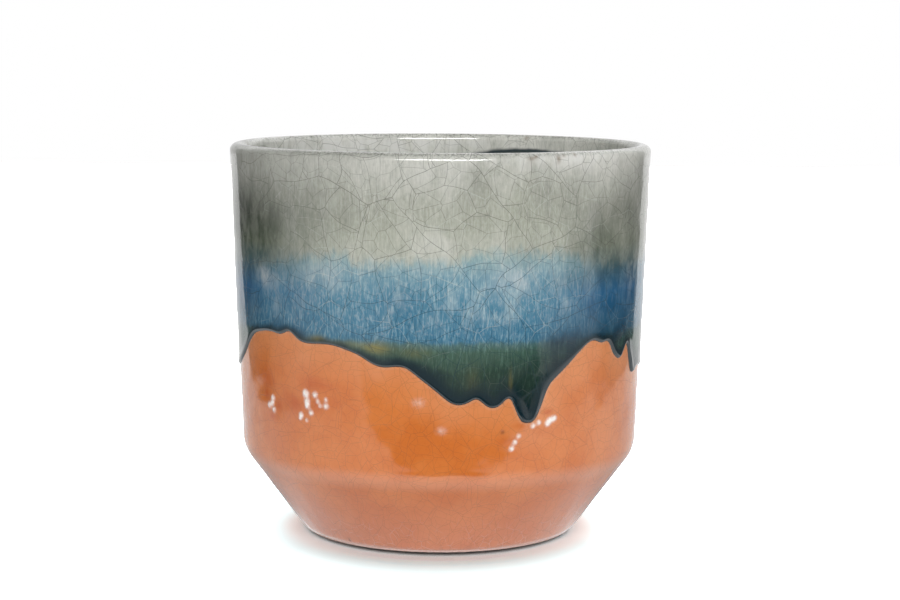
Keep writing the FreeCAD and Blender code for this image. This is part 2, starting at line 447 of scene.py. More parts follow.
class Graph:
    """A short hand for wiring the nodes of one material or world."""

    def __init__(self, tree: bpy.types.NodeTree) -> None:
        """Start on an emptied node tree."""
        self.tree = tree
        tree.nodes.clear()

    def add(self, kind: str, settings: Settings | None = None, **inputs: Term | Paint) -> bpy.types.Node:
        """Add a node.

        Args:
            kind: Class name of the node.
            settings: Properties to set on it.
            inputs: Values for its inputs, by name with underscores for spaces.

        Returns:
            The new node.
        """
        node = self.tree.nodes.new(kind)
        for key, value in (settings or {}).items():
            setattr(node, key, value)
        for key, value in inputs.items():
            self.feed(node.inputs[key.replace("_", " ")], value)
        return node

    def take(self, kind: str, output: str | int, settings: Settings | None = None,
             **inputs: Term | Paint) -> Wire:
        """Add a node, as add does, and return one of its outputs."""
        return Wire(self, self.add(kind, settings, **inputs).outputs[output])

    def feed(self, socket: bpy.types.NodeSocket, value: Term | Paint) -> None:
        """Set an input.

        Args:
            socket: The input.
            value: A wire to link to it, or a number, a vector, a linear colour or a display colour.
        """
        if isinstance(value, Wire):
            self.tree.links.new(value.socket, socket)
        else:
            socket.default_value = srgb(value) if isinstance(value, str) else value

    def fed(self, node: bpy.types.Node, values: tuple[Term | Paint, ...], first: int = 0,
            output: int = 0) -> Wire:
        """Set a node's inputs in their order.

        Args:
            node: The node.
            values: Values for the inputs.
            first: Number of the input that takes the first value.
            output: Number of the output that is wanted.

        Returns:
            The output.
        """
        for socket, value in zip(node.inputs[first:], values):
            self.feed(socket, value)
        return Wire(self, node.outputs[output])

    def math(self, operation: str, *values: Term, clamp: bool = False) -> Wire:
        """Do a sum on one or two values; a clamped result is kept from nought to one."""
        return self.fed(self.add("ShaderNodeMath", {"operation": operation, "use_clamp": clamp}), values)

    def vector(self, operation: str, *values: Wire | Band) -> Wire:
        """Do a sum on two vectors."""
        return self.fed(self.add("ShaderNodeVectorMath", {"operation": operation}), values)

    def ramp(self, value: Wire, stops: Stops) -> Wire:
        """Colour a value by stops.

        Args:
            value: A value from nought to one.
            stops: Place from nought to one and display colour of each stop, from the lowest up.

        Returns:
            The colour.
        """
        node = self.add("ShaderNodeValToRGB", Fac=value)
        band = node.color_ramp
        band.elements[0].position, band.elements[0].color = stops[0][0], srgb(stops[0][1])
        band.elements[1].position, band.elements[1].color = stops[-1][0], srgb(stops[-1][1])
        for place, code in stops[1:-1]:
            band.elements.new(place).color = srgb(code)
        return Wire(self, node.outputs["Color"])

    def blend(self, share: Term, first: Paint, second: Paint, mode: str = "MIX") -> Wire:
        """Mix two colours.

        Args:
            share: Share of the second colour.
            first: The first colour.
            second: The second colour.
            mode: Way of mixing.

        Returns:
            The mixed colour.
        """
        node = self.add("ShaderNodeMix", {"data_type": "RGBA", "blend_type": mode})
        self.feed(node.inputs[0], share)
        return self.fed(node, (first, second), first=6, output=2)

    def layered(self, colour: Paint, *layers: tuple[Term, Paint]) -> Wire:
        """Lay colours over one another.

        Args:
            colour: The lowest colour.
            layers: Share and colour of each layer, from the lowest up.

        Returns:
            The colour on top.
        """
        for share, paint in layers:
            colour = self.blend(share, colour, paint)
        return colour

    def place(self) -> Wire:
        """Position on the object."""
        return self.take("ShaderNodeTexCoord", "Object")

    def parts(self, place: Wire) -> tuple[Wire, Wire, Wire]:
        """Split a position or direction into its X, Y and Z."""
        node = self.add("ShaderNodeSeparateXYZ", Vector=place)
        return Wire(self, node.outputs[0]), Wire(self, node.outputs[1]), Wire(self, node.outputs[2])

    def level(self) -> Wire:
        """Height above the table."""
        return self.parts(self.place())[2]

    def mark(self, name: str) -> Wire:
        """Value kept on the piece's points under a name."""
        return self.take("ShaderNodeAttribute", "Fac", {"attribute_name": name})

    def noise(self, place: Wire, size: float, detail: float = 2.0, rough: float = 0.5,
              upright: float = 1.0) -> Wire:
        """Soft random pattern from nought to one.

        Args:
            place: Position at which it is read.
            size: Width of its largest lumps.
            detail: Number of finer patterns added to it.
            rough: Strength of each finer pattern beside the one before.
            upright: Number that heights are multiplied by; below one, the pattern is drawn out upwards.

        Returns:
            The pattern.
        """
        if upright != 1.0:
            place = self.vector("MULTIPLY", place, (1.0, 1.0, upright))
        return self.take("ShaderNodeTexNoise", 0, Vector=place, Scale=1 / size, Detail=detail,
                         Roughness=rough)

    def cells(self, place: Wire, size: float, flat: bool, edges: bool) -> Wire:
        """Random cells.

        Args:
            place: Position at which they are read.
            size: Width of a cell.
            flat: Whether they are cut from a plane and not from space.
            edges: Whether the distance to the nearest edge is wanted, and not a colour for each cell.

        Returns:
            The distance, in cells, or the colour.
        """
        settings = {"voronoi_dimensions": "2D" if flat else "3D",
                    "feature": "DISTANCE_TO_EDGE" if edges else "F1"}
        return self.take("ShaderNodeTexVoronoi", "Distance" if edges else "Color", settings,
                         Vector=place, Scale=1 / size)

    def unrolled(self) -> Wire:
        """Position over the unrolled wall.

        Returns:
            The way round the wall at the girth, and the height.
        """
        x, y, z = self.parts(self.place())
        turn = self.math("ARCTAN2", x, y * -1.0)
        return self.take("ShaderNodeCombineXYZ", "Vector", X=turn * GIRTH, Y=z)


@dataclass(frozen=True)
class Crackle:
    """A net of fine cracks in a glaze: long cracks, shorter ones that end at them, and faint old ones.

    The core of a line and the ghost width are shares of the width, and other sizes are shares of the cell.
    """

    cell: float
    width: float
    bend: float = 0.3
    flat: bool = True
    shares: Band = (2.2, 1.0, 0.45)
    strengths: Band = (1.0, 0.9, 0.6)
    stride: Band = (7.0, 5.0, 6.0)
    bend_size: float = 4 / 3
    bend_detail: float = 0.6
    ghost_share: float = 0.6
    ghost_width: float = 1.1
    ghost_aside: Band = (3.1, 1.7, 2.3)
    ghost_patch: float = 10 / 9
    ghost_seen: Span = (0.42, 0.6)
    core: float = 0.25

    def lines(self, graph: Graph, place: Wire) -> tuple[Wire, Wire]:
        """Strength of the crack lines.

        Each finer net is shifted by a different amount in every cell of the coarser one, so that its
        cracks end at the coarser cracks.

        Args:
            graph: Node graph of the material.
            place: Position on the object, or over the unrolled wall where the net is flat.

        Returns:
            Two values, each one on a crack and nought between cracks: first the dark cracks, then the
            faint old ones.
        """
        drift = graph.take("ShaderNodeTexNoise", "Color", Vector=place, Detail=self.bend_detail,
                           Scale=1 / (self.bend_size * self.cell))
        offset = graph.vector("SUBTRACT", drift, (0.5, 0.5, 0.5))
        amount = 2 * self.bend * self.cell
        bent = graph.vector("ADD", place, graph.vector("MULTIPLY", offset, (amount, amount, amount)))
        shifted, dark = bent, 0.0
        for share, strength in zip(self.shares, self.strengths):
            cell = share * self.cell
            dark = graph.math("MAXIMUM", self.net(graph, shifted, cell, self.width) * strength, dark)
            own = graph.cells(shifted, cell, self.flat, edges=False)
            stride = tuple(cells * cell for cells in self.stride)
            shifted = graph.vector("ADD", shifted, graph.vector("MULTIPLY", own, stride))
        aside = graph.vector("ADD", bent, tuple(cells * self.cell for cells in self.ghost_aside))
        ghost = self.net(graph, aside, self.cell * self.ghost_share, self.ghost_width * self.width)
        seen = graph.noise(place, self.ghost_patch * self.cell).rise(*self.ghost_seen)
        return dark, ghost * seen

    def net(self, graph: Graph, place: Wire, cell: float, width: float) -> Wire:
        """One net of lines of a half width round cells of one size."""
        return graph.cells(place, cell, self.flat, edges=True).rise(width / cell, self.core * width / cell)


class Finish:
    """A finish, which is built as one material of its name. Each kind wires its own surface."""

    name: str

    def material(self) -> bpy.types.Material:
        """Build the material.

        Returns:
            The material, which shows the finish's surface.
        """
        material = bpy.data.materials.new(self.name)
        material.use_nodes = True
        graph = Graph(material.node_tree)
        graph.add("ShaderNodeOutputMaterial", Surface=self.surface(graph))
        return material

    def surface(self, graph: Graph) -> Wire:
        """Wire the surface in the material's graph and return its shader."""
        raise NotImplementedError

    def opaque(self, colour: Wire, relief: Wire, depth: float, roughness: float) -> Wire:
        """Opaque surface.

        Args:
            colour: Its base colour.
            relief: Its relief.
            depth: Height of the relief for a value of one.
            roughness: Its roughness.

        Returns:
            The shader.
        """
        normal = colour.graph.take("ShaderNodeBump", "Normal", Height=relief, Strength=1.0, Distance=depth)
        return colour.graph.take("ShaderNodeBsdfPrincipled", "BSDF", Base_Color=colour,
                                 Roughness=roughness, Normal=normal)


@dataclass(frozen=True)
class OrangeGlaze(Finish):
    """Glossy orange glaze with a fine crackle."""

    name: str = "orange_crackle_glaze"
    crackle: Crackle = Crackle(cell=6.5 * MM, width=0.11 * MM, bend=0.22, shares=(2.0, 1.0, 0.6))

    def surface(self, graph: Graph) -> Wire:
        """Wire the surface.

        Args:
            graph: Node graph of the material.

        Returns:
            A glossy orange with soft clouds, paler next to the upper coat, with fine brown cracks and
            pale ones near the base, a painted highlight along the ridge, and painted glints on the
            blister tops and on a few pale spots.
        """
        place = graph.place()
        level = graph.level()
        edge_gap = graph.mark("edge_gap")
        painted_glint = graph.mark("painted_glint")
        dark, pale = self.crackle.lines(graph, graph.unrolled())
        clouds = graph.noise(place, 18 * MM, 3.0, 0.55)
        specks = graph.noise(place, 1.2 * MM, 3.0, 0.6)
        pool = graph.mark("pool") * (graph.noise(place, 3 * MM, 3.0) + 0.45)
        ragged = graph.noise(place, 1.1 * MM) * 1.2 + 0.4
        colour = graph.layered(
            "#d07231",
            (clouds.rise(0.35, 0.68), "#da8041"),
            (specks.rise(0.5, 0.72) * 0.2, "#b8571f"),
            (edge_gap.rise(15 * MM, 0.5 * MM) * 0.6, "#de925f"),
            (edge_gap.rise(1.3 * MM, 0.3 * MM) * 0.25, "#cfa68c"),
            (level.rise(34 * MM, 3 * MM) * 0.5, "#d29075"),
            # Painted highlight: a pale band along the ridge, where the glaze mirrors the bright table.
            (level.hump(31 * MM, 35.5 * MM, 2.5 * MM) * 0.35, "#e3a688"),
            (dark * 0.42, "#7d4a30"),
            (pale * level.rise(22 * MM, 4 * MM) * 0.6, "#e2bfb0"),
            (pool, "#bd5212"),
            # Painted highlights: white glints on the blister tops and a few pale spots, where the glaze
            # mirrors the lamp.
            ((painted_glint * ragged).rise(0.05, 1.0) * 0.97, "#fffaf6"),
            (graph.mark("pits") * 0.7, "#6d3212"),
        )
        lumps = graph.noise(place, 0.9 * MM, 1.0) * painted_glint * 2.0
        relief = graph.noise(place, 5 * MM, 1.0) + lumps - dark * 0.2
        return self.opaque(colour, relief, 0.05 * MM, 0.06)


@dataclass(frozen=True)
class ReactiveGlaze(Finish):
    """Glossy glaze that is grey at the rim, blue below it and dark green where it ran.

    The tones are stops, each a level in millimetres and a display colour.
    """

    name: str = "reactive_crackle_glaze"
    crackle: Crackle = Crackle(cell=15.5 * MM, width=0.14 * MM, bend=0.3)
    low: float = 50 * MM
    high: float = 160 * MM
    border: float = 117 * MM
    grey: Stops = ((110, "#98a29c"), (119, "#b2b5a8"), (128, "#a9ac9e"), (140, "#a9ab9f"), (149, "#b8b9b0"),
                   (156, "#cfcfc7"))
    blue: Stops = ((56, "#172623"), (66, "#1e2f28"), (76, "#2c4236"), (84, "#3f5d50"), (86.6, "#4a6b6b"),
                   (88, "#3d728d"), (95, "#447a95"), (103, "#52859d"), (112, "#7098a8"), (120, "#8fabae"))
    light_streaks: Stops = ((66, "#34493a"), (84, "#5f7f70"), (90, "#9cc0cd"), (112, "#bccfd2"),
                            (122, "#d0d1c6"), (158, "#dedfd8"))
    dark_streaks: Stops = ((66, "#1c2b26"), (84, "#2c473c"), (90, "#27607f"), (112, "#4b7f98"),
                           (122, "#757a70"), (158, "#8a8c84"))
    deep_tones: Stops = ((56, "#0c1b1c"), (80, "#0f262b"), (86, "#0f2f3c"), (91, "#0f4763"), (104, "#1b5880"),
                    (115, "#3c5557"), (122, "#45503f"), (134, "#3e443b"), (150, "#686b62"))

    def by_level(self, graph: Graph, level: Wire, stops: Stops) -> Wire:
        """Colour a level by stops.

        Args:
            graph: Node graph of the material.
            level: The level.
            stops: Level in millimetres and display colour of each stop.

        Returns:
            The colour.
        """
        reach = self.high - self.low
        places = tuple(((stop * MM - self.low) / reach, code) for stop, code in stops)
        return graph.ramp((level - self.low) / reach, places)

    def surface(self, graph: Graph) -> Wire:
        """Wire the surface.

        Args:
            graph: Node graph of the material.

        Returns:
            Bands of colour by height, wandering with soft noise, with upright streaks, clouds, a dark
            band and a thin line along the lower edge, and dark and pale cracks. Deeper colour lies at
            places, partly painted shade at the pot's sides and the left of the rim, and pale frosted
            patches, partly painted light inside the back wall and on the front and right of the rim.
        """
        place = graph.place()
        level = graph.level()
        edge_gap = graph.mark("edge_gap")
        broad = graph.noise(place, 22 * MM, 4.0, 0.6, upright=0.6)
        fine = graph.noise(place, 3 * MM, 4.0, 0.65, upright=0.4)
        wander = (broad - 0.5) * (7 * MM) + (fine - 0.5) * (11 * MM)
        grey_level = graph.mark("over_border") + self.border + wander
        turn = grey_level.rise(113.5 * MM, 119.5 * MM)
        colour = graph.blend(turn, self.by_level(graph, level + wander * 0.4, self.blue),
                             self.by_level(graph, grey_level, self.grey))
        patchy = graph.noise(place, 6 * MM, 4.0, 0.6, upright=0.5)
        depth = patchy.rise(0.35, 0.65) * -0.3 + 1.12
        # The shade mark is partly deeper colour in the coat and partly painted shade at the pot's sides and
        # on the left of the rim.
        shade = graph.math("MULTIPLY", graph.mark("shade") * depth, 0.92, clamp=True)
        wobble = (graph.noise(place, 6 * MM) - 0.5) * (5 * MM)
        narrow = level.rise(76 * MM, 86 * MM) * 1.3 + 1.0
        band = (edge_gap * narrow + wobble).rise(9.5 * MM, 1.5 * MM)
        crown = level.rise(156.3 * MM, 157.6 * MM)
        specks = graph.noise(place, 0.9 * MM, 3.0, 0.6).rise(0.46, 0.6)
        dark, pale = self.crackle.lines(graph, graph.unrolled())
        calm = edge_gap.rise(1.5 * MM, 6 * MM)
        pale_share = (level.rise(80 * MM, 94 * MM) * 0.34 + 0.06) * calm * (shade * -0.85 + 1.0)
        colour = graph.layered(
            self.streaked(graph, colour, place, level),
            (shade, self.by_level(graph, level, self.deep_tones)),
            # Pale frosted patches, partly the glaze's own and partly painted light inside the back wall and
            # on the front and right of the rim.
            (graph.mark("frost_and_painted_light") * patchy.rise(0.34, 0.58), "#dededa"),
            (graph.mark("olive"), "#857b40"),
            (band * 0.95, "#06212a"),
            (edge_gap.rise(0.34 * MM, 0.1 * MM) * 0.1, "#6a7a6c"),
            (crown * specks * 0.55, "#63655d"),
            (graph.mark("specks"), "#7d6c58"),
            (pale * pale_share, "#ccd2cb"),
            (dark * calm * 0.72, graph.blend(turn, "#1f3740", "#55574f")),
        )
        return self.opaque(colour, graph.noise(place, 4 * MM, 1.0) - dark * 0.2, 0.05 * MM, 0.05)

    def streaked(self, graph: Graph, colour: Wire, place: Wire, level: Wire) -> Wire:
        """Add clouds, mottling and upright streaks, which are strongest in the blue band.

        Args:
            graph: Node graph of the material.
            colour: Colour to which they are added.
            place: Position on the object.
            level: Height above the table.

        Returns:
            The colour with all of them.
        """
        clouds = graph.noise(place, 9 * MM, 4.0, 0.6, upright=0.5)
        streaks = graph.noise(place, 0.6 * MM, 3.0, 0.65, upright=0.13)
        amount = level.hump(72 * MM, 114 * MM, 8 * MM) * 0.2 + 0.24
        drifts = graph.noise(place, 13 * MM, 3.0, 0.55, upright=0.5)
        grey_zone = level.rise(108 * MM, 124 * MM)
        mottle = graph.noise(place, 1.2 * MM, 4.0, 0.7, upright=0.55)
        lift = level.rise(82 * MM, 96 * MM) * 0.22 + 0.02
        return graph.layered(
            colour,
            (clouds.rise(0.48, 0.68) * level.hump(94 * MM, 118 * MM, 6 * MM) * 0.5, "#a9bdc2"),
            (streaks.rise(0.5, 0.66) * amount, self.by_level(graph, level, self.light_streaks)),
            (streaks.rise(0.5, 0.34) * amount, self.by_level(graph, level, self.dark_streaks)),
            (drifts.rise(0.5, 0.68) * grey_zone * 0.24, "#d8d9d1"),
            (drifts.rise(0.5, 0.32) * grey_zone * 0.26, "#757a70"),
            (mottle.rise(0.5, 0.72) * lift, "#dcdcd2"),
            (mottle.rise(0.5, 0.3) * 0.18, "#4c524a"),
        )


@dataclass(frozen=True)
class LinerGlaze(Finish):
    """Pale glossy glaze inside the pot."""

    name: str = "liner_glaze"
    crackle: Crackle = Crackle(cell=22 * MM, width=0.16 * MM, flat=False)

    def surface(self, graph: Graph) -> Wire:
        """Wire the surface.

        Args:
            graph: Node graph of the material.

        Returns:
            A glossy pale grey with soft clouds and grey cracks.
        """
        place = graph.place()
        clouds = graph.noise(place, 14 * MM, 4.0, 0.6)
        dark = self.crackle.lines(graph, place)[0]
        colour = graph.layered("#a2a69d", (clouds.rise(0.35, 0.7), "#b7b9ae"), (dark * 0.5, "#5f625a"))
        return self.opaque(colour, graph.noise(place, 4 * MM), 0.03 * MM, 0.08)


@dataclass(frozen=True)
class BareClay(Finish):
    """Matt fired clay, as on the foot and the lip."""

    name: str = "fired_clay"

    def surface(self, graph: Graph) -> Wire:
        """Wire the surface.

        Args:
            graph: Node graph of the material.

        Returns:
            A matt pale pink with a fine grain.
        """
        grain = graph.noise(graph.place(), 0.8 * MM, 4.0, 0.65)
        colour = graph.blend(grain.rise(0.35, 0.65), "#e0c3ba", "#ecd8d0")
        return self.opaque(colour, grain, 0.08 * MM, 0.8)


@dataclass(frozen=True)
class ClearPad(Finish):
    """Clear soft plastic of the pads: glossy, slightly hazy, and light passes through."""

    name: str = "clear_pad"

    def surface(self, graph: Graph) -> Wire:
        """Wire the surface in the material's graph and return its shader."""
        colour = graph.blend(graph.noise(graph.place(), 2 * MM), "#c3c9c8", "#d5dad9")
        return graph.take("ShaderNodeBsdfPrincipled", "BSDF", Base_Color=colour, Roughness=0.08, IOR=1.45,
                          Transmission_Weight=0.7)


@dataclass(frozen=True)
class Blister:
    """A small round blister in a coat, or a pit where its height is negative."""

    azimuth: float
    level: float
    radius: float
    height: float

    def relief(self, azimuths: np.ndarray, levels: np.ndarray, girth: float) -> np.ndarray:
        """Height (1 - g^2)^1.5 at each point, where g is the distance from the middle over the radius.

        Args:
            azimuths: Angles round the pot in radians.
            levels: Heights above the table.
            girth: Radius of the wall.

        Returns:
            One height for each pair of an azimuth and a level.
        """
        turn = (azimuths - math.radians(self.azimuth) + math.pi) % (2 * math.pi) - math.pi
        gap = np.hypot(turn * girth, levels - self.level * MM) / (self.radius * MM)
        return self.height * MM * np.clip(1 - gap ** 2, 0, 1) ** 1.5


@dataclass
class OrangeCoat:
    """The lower coat, from the lip of the base up under the upper coat.

    Blisters and places are given in degrees and millimetres.
    """

    section: PotSection
    edge: WavyEdge
    columns: int = 860
    top: float = 97 * MM
    sunk: float = 0.25 * MM
    blisters_from: float = 45 * MM
    blisters_to: float = 69 * MM
    lip_run: float = 1.2 * MM
    lip_drop: float = 0.28 * MM
    reach: float = 16 * MM
    outer_spacing: tuple[float, ...] = (1.8 * MM, 1.0 * MM, 0.55 * MM, 2.2 * MM)
    inner_spacing: Span = (12 * MM, 3 * MM)
    turn_per_mm: float = 0.72
    # Strength of the painted glints on the blister tops.
    painted_glint: float = 1.15
    pit_patch: Band = (0.6, 0.8, 1.0)
    finish: OrangeGlaze = field(default_factory=OrangeGlaze)
    ripples: Ripples = Ripples(seed=11, height=0.035 * MM, shortest=9 * MM, longest=40 * MM)
    blisters: Bumps = (
        (-52.3, 61.4, 1.3, 0.55), (-54.1, 58.3, 1.4, 0.55), (-51.9, 56.8, 1.2, 0.5),
        (-52.6, 59.4, 1.1, 0.5), (-38.5, 65.5, 1.6, 0.7), (-35.2, 65.5, 1.3, 0.55), (-38, 62.4, 1.4, 0.6),
        (-38, 60.6, 1.2, 0.5),
        (-36.7, 58.3, 1.2, 0.55), (-40.4, 57, 1.2, 0.5), (-40.7, 55.6, 1, 0.4), (-38.4, 55.1, 0.9, 0.35),
        (-31.6, 61.5, 1.3, 0.55), (-31.6, 64.1, 0.9, 0.35), (-34.3, 63, 1, 0.35), (-33.6, 61.4, 0.9, 0.3),
        (20, 46.9, 1.2, 0.5), (20.9, 49.2, 1.1, 0.45), (22, 51.6, 1.1, 0.35), (26.1, 55.1, 1.1, 0.5),
        (27.9, 56.2, 1.1, 0.5), (30.6, 55.4, 1.2, 0.5), (31.4, 56.6, 1.3, 0.6), (32.8, 57.2, 1.3, 0.6),
        (118, 56, 1.5, 0.6), (121, 59.5, 1.3, 0.5), (168, 48, 1.4, 0.6), (171.5, 51, 1.2, 0.5),
        (-122, 60, 1.5, 0.6), (-118.5, 56.5, 1.3, 0.5),
    )
    pits: Bumps = ((17.4, 53.4, 0.6, -0.22), (-37.3, 3.9, 0.7, -0.22))
    # Painted highlights: pale spots on the orange where bumps in the glaze mirror the light.
    painted_highlight_spots: Patches = ((-5.3, 65, 2.2, 2.4, 0.34), (0.8, 54.4, 1.9, 2, 0.36), (43, 71, 3, 2, 0.12))
    pool_places: Patches = (
        (-35, 69.3, 5, 2.4, 0.7), (-35.3, 61.2, 2.2, 3, 0.6), (-42, 60.6, 2, 3, 0.5),
        (-49.6, 59, 1.3, 2.2, 0.7), (-55.6, 62.6, 1.6, 2, 0.7), (-52.7, 54.2, 2, 1.7, 0.6),
        (-54.5, 68, 4, 4, 0.5), (-29, 63, 2, 3, 0.3), (30.6, 60, 1.8, 1.4, 0.7),
        (22.4, 55.4, 2.6, 1.2, 0.4), (18.6, 50, 2.4, 1.6, 0.4),
        (29, 52.8, 5, 2.6, 0.3), (119, 58, 5, 5, 0.5), (170, 50, 5, 4, 0.5), (-120, 58, 5, 5, 0.5),
        (-45, 62, 4, 5, 0.35),
    )

    def outer_path(self) -> np.ndarray:
        """Section of the outer face.

        Returns:
            Points from the lip up, each a radius and a level, close together where the blisters are.
        """
        coat = self.section.orange_coat
        lip = self.section.lip_level
        return rounded_path([
            (self.section.cone_radius(lip, coat), lip, 0),
            (*self.section.ridge(coat), self.section.ridge_rounding + coat),
            *[(self.section.side_radius(level, coat), level, 0)
              for level in (self.blisters_from, self.blisters_to, self.top)],
        ], self.outer_spacing)

    def inner_path(self) -> np.ndarray:
        """Section of the inner face.

        Returns:
            Points from the top down, each a radius and a level, just inside the clay.
        """
        lip = self.section.lip_level
        return rounded_path([
            (self.section.side_radius(self.top, -self.sunk), self.top, 0),
            (*self.section.ridge(-self.sunk), self.section.ridge_rounding - self.sunk),
            (self.section.cone_radius(lip, -self.sunk), lip, 0),
        ], self.inner_spacing)

    def build(self) -> bpy.types.Object:
        """Build the coat as a closed ring.

        Returns:
            The piece, whose outer face carries ripples, blisters and pits. Its points keep the distance
            from the upper coat's edge, the painted glints on the blister tops and a few pale spots, the
            deep colour round the blisters and the pits.
        """
        lip = self.section.lip_level
        outer = self.outer_path()
        inner = self.inner_path()
        normal = outward(outer)
        azimuths = even_turn(self.columns)
        turns = azimuths[None, :]
        radii, levels = grid(outer, self.columns)
        swell = self.ripples.at(turns, levels)
        for spot in self.blisters + self.pits:
            swell += Blister(*spot).relief(turns, levels, self.section.ridge_radius)
        # Painted glints on the blister tops, stronger on taller blisters.
        tops = tuple((*middle, self.turn_per_mm * radius, radius, self.painted_glint * height ** 0.5)
                     for *middle, radius, height in self.blisters)
        holes = tuple((*hole[:2], *self.pit_patch) for hole in self.pits)
        hidden = np.zeros((len(inner), self.columns))
        gap = self.edge.distance(levels, azimuths, self.section.ridge_radius, self.reach)
        marks = {"edge_gap": np.concatenate([gap, hidden + self.reach])}
        for name, places in {"painted_glint": tops + self.painted_highlight_spots, "pool": self.pool_places,
                             "pits": holes}.items():
            marks[name] = np.concatenate([patches(places, turns, levels), hidden])
        ends = smooth_step(outer[:, 1], lip, lip + self.lip_run)[:, None]
        swell = swell * ends - self.lip_drop * (1 - ends)
        outside = (radii + swell * normal[:, 0:1], levels + swell * normal[:, 1:2])
        piece = ring_object("orange_coat", [outside, grid(inner, self.columns)], azimuths, marks)
        piece.data.materials.append(self.finish.material())
        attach(piece, "root")
        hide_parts(Node.ORANGE.value)
        return piece


@dataclass
class UpperCoat:
    """The upper coat, from its dripping edge outside, over the rim, to a wavy edge inside.

    Places are given in degrees and millimetres, and the border between blue and grey as azimuths and
    shares of the height.
    """

    section: PotSection
    edge: WavyEdge
    inside_edge: WavyEdge
    columns: int = 1000
    finish: ReactiveGlaze = field(default_factory=ReactiveGlaze)
    ripples: Ripples = Ripples(seed=5, height=0.04 * MM, shortest=10 * MM, longest=45 * MM)
    near_rows: tuple[float, ...] = (0, 0.1, 0.22, 0.36, 0.52, 0.72, 0.96, 1.25, 1.6, 2.05, 2.6, 3.3, 4.2,
                                    5.4, 7.0, 9.0, 12.0)
    far_rows: int = 34
    crown_rows: int = 16
    inside_rows: int = 12
    hidden_rows: int = 3
    reach: float = 12 * MM
    calm_edge: float = 4 * MM
    calm_rim: float = 8 * MM
    sunk: float = 0.04 * MM
    sunk_inside: float = 0.03 * MM
    rim_cover: float = 1 * MM
    side_cover: float = 0.3 * MM
    top_cover: float = 1.2 * MM
    inside_cover: float = 0.5 * MM
    slope: float = 0.28 * MM
    bead: float = 0.22 * MM
    bead_width: float = 1.9 * MM
    bead_middle: float = 1.1
    bead_broader: float = 1.5
    tip_bead: float = 0.4 * MM
    tip_from: Span = (0.5 * MM, 6 * MM)
    tip_width: float = 10 * MM
    crown_outer: float = 3.5 * MM
    crown_height: float = 2.9 * MM
    inside_steps: float = 0.6
    inside_slope: float = 0.4 * MM
    inside_bead: float = 0.1 * MM
    inside_bead_at: float = 1.5 * MM
    inside_bead_width: float = 1.2 * MM
    inside_bead_from: float = 1 * MM
    inside_bead_to: float = 2 * MM
    inside_scale: float = 1.5
    # How much wider the dark band inside is drawn at the listed places.
    inside_widening: float = 3 * MM
    border_table: Table = (
        (-63.4, 0.694), (-50.1, 0.730), (-39.9, 0.749), (-30.9, 0.761), (-24.6, 0.758), (-20.4, 0.740),
        (-11.3, 0.747), (-5.1, 0.749), (-0.5, 0.756), (4.1, 0.752), (11.2, 0.775), (19.2, 0.776),
        (27.8, 0.759), (37.7, 0.752), (43.2, 0.734), (56.8, 0.717), (70, 0.722), (90, 0.742), (120, 0.763),
        (150, 0.730), (175, 0.752), (200, 0.725), (225, 0.764), (250, 0.740), (275, 0.716),
    )
    # Deeper colour in the upper coat. The patches about 40 to 70 degrees either side of the front and along
    # the left of the rim are painted shade, where less light falls.
    deep_and_shaded_places: Patches = (
        (-71, 124, 19, 34, 0.95), (-70, 98, 14, 12, 0.5), (61, 106, 14, 14, 0.65), (66, 138, 11, 20, 0.4),
        (-54, 130, 11, 24, 0.38), (-42, 126, 10, 28, 0.3), (-50, 158, 30, 7, 0.25), (50, 104, 8, 20, 0.45),
        (44, 97, 8, 10, 0.5), (44, 87, 7, 4, 0.75), (34, 80, 7, 5, 0.75), (34, 90, 6, 12, 0.4),
        (22, 75, 6, 6, 0.35), (36, 109, 6, 5, 0.4), (34, 87, 7, 3, 0.5), (-42, 88, 4, 3, 0.6),
        (-11, 80, 7, 4, 0.5), (46, 88, 6, 4, 0.5), (57, 86, 8, 5, 0.5), (23, 122, 6, 6, 0.25),
        (35, 121, 6, 4, 0.2), (46, 135, 7, 8, 0.25), (57, 136, 6, 9, 0.3), (-66, 120, 8, 8, 0.2),
        (36, 78, 5, 6, 0.5), (-40, 87, 5, 3, 0.5), (-40, 101, 8, 9, 0.25), (-10, 103, 6, 6, 0.25),
        (-30, 138, 9, 14, 0.25), (44, 125, 8, 10, 0.4), (10, 142, 6, 14, 0.15), (34, 140, 6, 10, 0.2),
        (-20, 158.5, 24, 2.5, 0.35), (57, 103, 9, 8, 0.6), (60, 90, 14, 10, 0.45), (-49, 89.5, 4, 3.5, 0.6),
        (24.2, 61.6, 1, 1.5, 0.9), (-44, 122, 13, 12, 0.15), (46, 118, 9, 9, 0.35), (66, 118, 9, 14, 0.3),
        (-62, 118, 8, 12, 0.2), (112, 118, 14, 26, 0.6), (150, 84, 10, 18, 0.6), (-165, 96, 12, 14, 0.6),
        (-120, 120, 12, 26, 0.65), (188, 76, 9, 14, 0.4), (-100, 92, 10, 12, 0.4), (160, 128, 20, 14, 0.3),
        (-140, 134, 16, 16, 0.3),
    )
    olive_places: Patches = (
        (-33.5, 87, 2.4, 1.5, 0.75), (-16.5, 85, 3.6, 1.8, 0.75), (-6, 84, 4, 2, 0.3),
        (19.2, 70.5, 0.5, 5, 0.5), (9, 72, 1.6, 6, 0.15), (-24, 86.2, 11, 1.3, 0.35), (128, 84, 4, 2, 0.6),
        (-150, 80, 4, 2, 0.6),
    )
